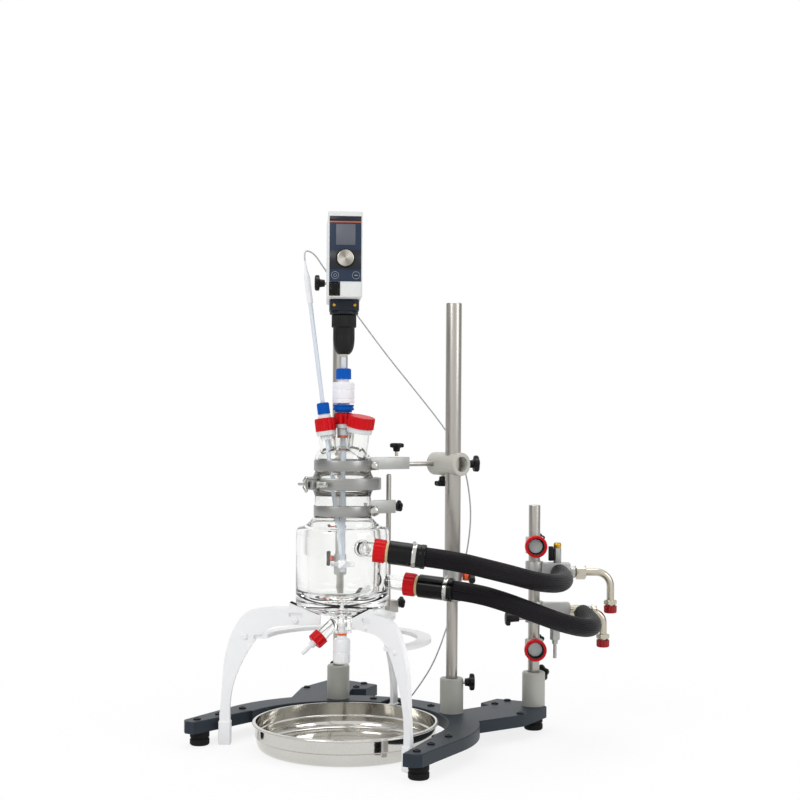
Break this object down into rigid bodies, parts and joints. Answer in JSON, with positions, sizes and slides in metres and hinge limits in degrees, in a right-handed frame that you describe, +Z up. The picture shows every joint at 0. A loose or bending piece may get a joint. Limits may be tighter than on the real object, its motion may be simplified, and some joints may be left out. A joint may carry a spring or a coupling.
{
  "type": "laboratory synthesis reactor",
  "caption": "Jacketed glass reaction vessel on a white stand, held by rods on a horseshoe base, with an overhead stirrer, temperature probe, heating hoses and a drip pan.",
  "frame": {"origin": "middle of the footprint without the probe cable and hoses, on the bench", "axes": "+Z up, -Y towards the operator who faces the motor's panel, +X to the operator's right"},
  "size_m": [0.8848, 0.7335, 1.043],
  "materials": {
    "navy_paint": "textured powder coat",
    "black_rubber": "matt",
    "black_screws": "satin",
    "socket_grey": "satin",
    "brushed_rod": "brushed",
    "brushed_tube": "brushed",
    "collar_steel": "satin",
    "clamp_grey": "satin",
    "band_steel": "satin",
    "glass": "clear",
    "seal_rubber": "matt",
    "polished_steel": "polished",
    "red_plastic": "gloss",
    "blue_plastic": "gloss",
    "white_polymer": "satin",
    "probe_white": "satin coated",
    "shaft_white": "satin coated",
    "impeller_polymer": "satin",
    "chuck_black": "satin",
    "housing_white": "satin",
    "panel_blue": "satin",
    "nose_grey": "satin",
    "knob_grey": "satin",
    "switch_black": "satin",
    "bracket_grey": "satin",
    "stand_white": "satin",
    "pan_steel": "polished",
    "hose_braid": "braided",
    "sleeve_black": "gloss",
    "manifold_steel": "satin",
    "elbow_steel": "satin",
    "cable_grey": "satin",
    "plug_black": "satin",
    "knob_black": "satin",
    "lever_black": "satin"
  },
  "bodies": {
    "frame": {"base_plate": "navy_paint", "base_feet": "black_rubber", "base_screws": "black_screws", "column_sockets": "socket_grey", "column_rods": "brushed_rod", "cross_clamp": "clamp_grey", "support_rods": "brushed_rod", "support_bands": "band_steel", "vessel": "glass", "glass_lid": "glass", "seals": "seal_rubber", "flange_clamp": "polished_steel", "red_screw_caps": "red_plastic", "red_ring_nuts": "red_plastic", "gland_nuts": "blue_plastic", "gland_bodies": "white_polymer", "probe": "probe_white", "stand_legs": "stand_white", "stand_rings": "stand_white", "stand_fittings": "stand_white", "cradle_pads": "black_rubber", "upper_hose": "hose_braid", "lower_hose": "hose_braid", "hose_sleeves": "sleeve_black", "hose_manifolds": "manifold_steel", "outlet_elbows": "elbow_steel", "parking_ports": "manifold_steel", "probe_cable": "cable_grey", "cable_plug": "plug_black"},
    "stirrer": {"stirrer_shaft": "shaft_white", "impeller": "impeller_polymer"},
    "rear_mast": {"rear_tube": "brushed_tube", "rear_collar": "collar_steel", "motor_bracket": "bracket_grey", "motor_housing": "housing_white", "motor_panel": "panel_blue", "motor_collar": "nose_grey"},
    "main_mast": {"main_tube": "brushed_tube", "main_collar": "collar_steel"},
    "rear_socket_knob_body": {"rear_socket_knob": "knob_black"},
    "main_socket_knob_body": {"main_socket_knob": "knob_black"},
    "hose_socket_knob_body": {"hose_socket_knob": "knob_black"},
    "cross_clamp_knob_body": {"cross_clamp_knob": "knob_black"},
    "cross_clamp_side_knob_body": {"cross_clamp_side_knob": "knob_black"},
    "lid_arm_knob_body": {"lid_arm_knob": "knob_black"},
    "neck_knob_body": {"neck_knob": "knob_black"},
    "side_rod_knob_body": {"side_rod_knob": "knob_black"},
    "motor_bracket_knob_body": {"motor_bracket_knob": "knob_black"},
    "manifold_knob_body": {"manifold_knob": "knob_black"},
    "rear_lever_body": {"rear_lever": "lever_black"},
    "main_lever_body": {"main_lever": "lever_black"},
    "upper_valve_lever_body": {"upper_valve_lever": "knob_black"},
    "lower_valve_lever_body": {"lower_valve_lever": "knob_black"},
    "clamp_wing_nut_body": {"clamp_wing_nut": "polished_steel"},
    "wide_cap_body": {"wide_cap": "red_plastic"},
    "outlet_valve_body": {"outlet_valve": "white_polymer"},
    "speed_knob_body": {"speed_knob": "knob_grey"},
    "power_switch_body": {"power_switch": "switch_black"},
    "drip_pan_body": {"drip_pan": "pan_steel"},
    "chuck_body": {"chuck": "chuck_black"}
  },
  "joints": [
    {"name": "motor_lift", "type": "slide", "parent": "frame", "child": "rear_mast", "axis": [0, 0, 1], "range_m": [-0.01, 0.18]},
    {"name": "main_column_slide", "type": "slide", "parent": "frame", "child": "main_mast", "axis": [0, 0, 1], "range_m": [-0.15, 0.15]},
    {"name": "chuck_spin", "type": "hinge", "parent": "rear_mast", "child": "chuck_body", "pos_m": [-0.135, -0.084, 0.8], "axis": [0, 0, 1], "continuous": true},
    {"name": "stirrer_spin", "type": "hinge", "parent": "frame", "child": "stirrer", "pos_m": [-0.135, -0.084, 0.6], "axis": [0, 0, 1], "continuous": true},
    {"name": "drip_pan_slide", "type": "slide", "parent": "frame", "child": "drip_pan_body", "axis": [-0.5736, -0.8192, 0], "range_m": [0, 0.45]},
    {"name": "rear_socket_knob_turn", "type": "hinge", "parent": "frame", "child": "rear_socket_knob_body", "pos_m": [-0.135, 0.1605, 0.112], "axis": [0, 1, 0], "continuous": true},
    {"name": "main_socket_knob_turn", "type": "hinge", "parent": "frame", "child": "main_socket_knob_body", "pos_m": [0.09053, -0.00192, 0.112], "axis": [0.9976, -0.0698, 0], "continuous": true},
    {"name": "hose_socket_knob_turn", "type": "hinge", "parent": "frame", "child": "hose_socket_knob_body", "pos_m": [0.26907, 0.06307, 0.112], "axis": [0.5446, 0.8387, 0], "continuous": true},
    {"name": "cross_clamp_knob_turn", "type": "hinge", "parent": "frame", "child": "cross_clamp_knob_body", "pos_m": [0.07335, 0.02959, 0.52], "axis": [0, 0, -1], "continuous": true},
    {"name": "cross_clamp_side_knob_turn", "type": "hinge", "parent": "frame", "child": "cross_clamp_side_knob_body", "pos_m": [0.09053, -0.00192, 0.5545], "axis": [0.9945, 0.1045, 0], "continuous": true},
    {"name": "lid_arm_knob_turn", "type": "hinge", "parent": "frame", "child": "lid_arm_knob_body", "pos_m": [-0.02613, -0.02464, 0.59], "axis": [0, 0, 1], "continuous": true},
    {"name": "neck_knob_turn", "type": "hinge", "parent": "frame", "child": "neck_knob_body", "pos_m": [-0.02525, -0.02416, 0.47], "axis": [0.878, 0.4787, 0], "continuous": true},
    {"name": "side_rod_knob_turn", "type": "hinge", "parent": "frame", "child": "side_rod_knob_body", "pos_m": [-0.02086, -0.02177, 0.276], "axis": [0.878, 0.4787, 0], "continuous": true},
    {"name": "motor_bracket_knob_turn", "type": "hinge", "parent": "rear_mast", "child": "motor_bracket_knob_body", "pos_m": [-0.135, 0.1605, 0.934], "axis": [-1, 0, 0], "continuous": true},
    {"name": "manifold_knob_turn", "type": "hinge", "parent": "frame", "child": "manifold_knob_body", "pos_m": [0.26907, 0.06307, 0.232], "axis": [-1, 0, 0], "continuous": true},
    {"name": "wing_nut_turn", "type": "hinge", "parent": "frame", "child": "clamp_wing_nut_body", "pos_m": [-0.19339, -0.15117, 0.518], "axis": [-0.7547, 0.6561, 0], "continuous": true},
    {"name": "wide_cap_turn", "type": "hinge", "parent": "frame", "child": "wide_cap_body", "pos_m": [-0.11079, -0.10996, 0.582], "axis": [0.1534, -0.1645, 0.9744], "continuous": true},
    {"name": "outlet_valve_turn", "type": "hinge", "parent": "frame", "child": "outlet_valve_body", "pos_m": [-0.135, -0.084, 0.2], "axis": [0, 0, 1], "continuous": true},
    {"name": "speed_knob_turn", "type": "hinge", "parent": "rear_mast", "child": "speed_knob_body", "pos_m": [-0.135, -0.15, 0.951], "axis": [0, -1, 0], "continuous": true},
    {"name": "power_switch_rock", "type": "hinge", "parent": "rear_mast", "child": "power_switch_body", "pos_m": [-0.1555, -0.149, 0.893], "axis": [1, 0, 0], "range_deg": [-16, 0]},
    {"name": "rear_lever_turn", "type": "hinge", "parent": "rear_mast", "child": "rear_lever_body", "pos_m": [-0.135, 0.1605, 0.351], "axis": [-0.9976, 0.0698, 0], "range_deg": [-90, 90]},
    {"name": "main_lever_turn", "type": "hinge", "parent": "main_mast", "child": "main_lever_body", "pos_m": [0.09053, -0.00192, 0.327], "axis": [0.9976, -0.0698, 0], "range_deg": [-90, 90]},
    {"name": "upper_valve_turn", "type": "hinge", "parent": "frame", "child": "upper_valve_lever_body", "pos_m": [0.32194, 0.05937, 0.358], "axis": [-0.9976, 0.0698, 0], "range_deg": [-90, 0]},
    {"name": "lower_valve_turn", "type": "hinge", "parent": "frame", "child": "lower_valve_lever_body", "pos_m": [0.31296, 0.06, 0.212], "axis": [0.0698, 0.9976, 0], "range_deg": [-90, 0]}
  ],
  "couplings": [
    {"joint": "stirrer_spin", "follows": "chuck_spin", "ratio": 1}
  ]
}
